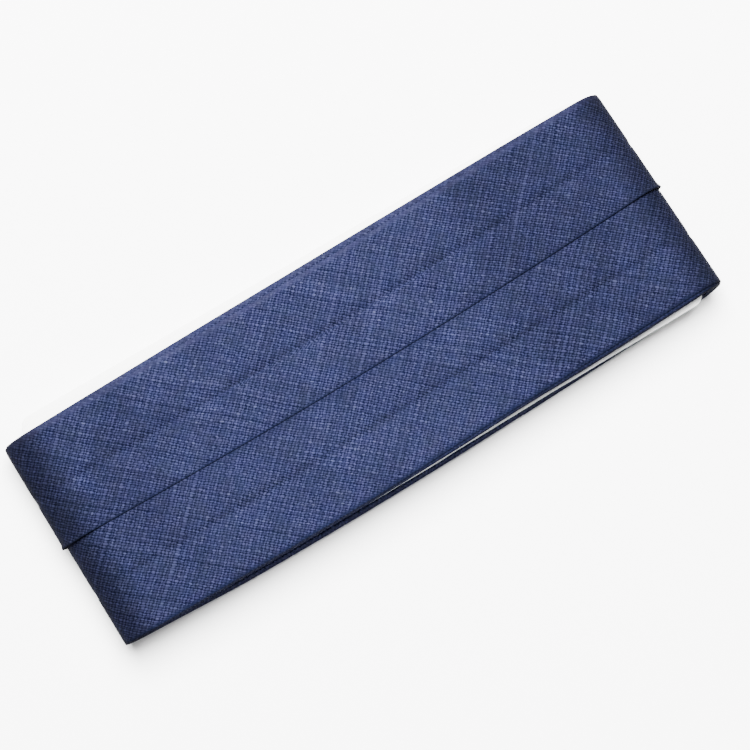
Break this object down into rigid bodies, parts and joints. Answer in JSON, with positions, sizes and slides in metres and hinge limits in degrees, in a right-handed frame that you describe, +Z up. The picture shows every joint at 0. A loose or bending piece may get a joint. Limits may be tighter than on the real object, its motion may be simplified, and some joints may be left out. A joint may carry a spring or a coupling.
{
  "type": "card of bias tape",
  "caption": "Flat white card wound lengthwise with folded cotton bias tape in side-by-side overlapping lanes, unwound to bind fabric edges.",
  "frame": {"origin": "middle of the object's box, on the surface it lies on", "axes": "+X along the lanes of tape, +Y across the card towards the lane that laps over the other, +Z up away from the surface"},
  "size_m": [0.115, 0.0424, 0.0084],
  "materials": {
    "card_core": "matte white board",
    "wound_tape": "navy blue plain-weave cotton cut on the bias"
  },
  "bodies": {
    "root": {"card_core": "card_core", "wound_tape": "wound_tape"}
  },
  "joints": []
}
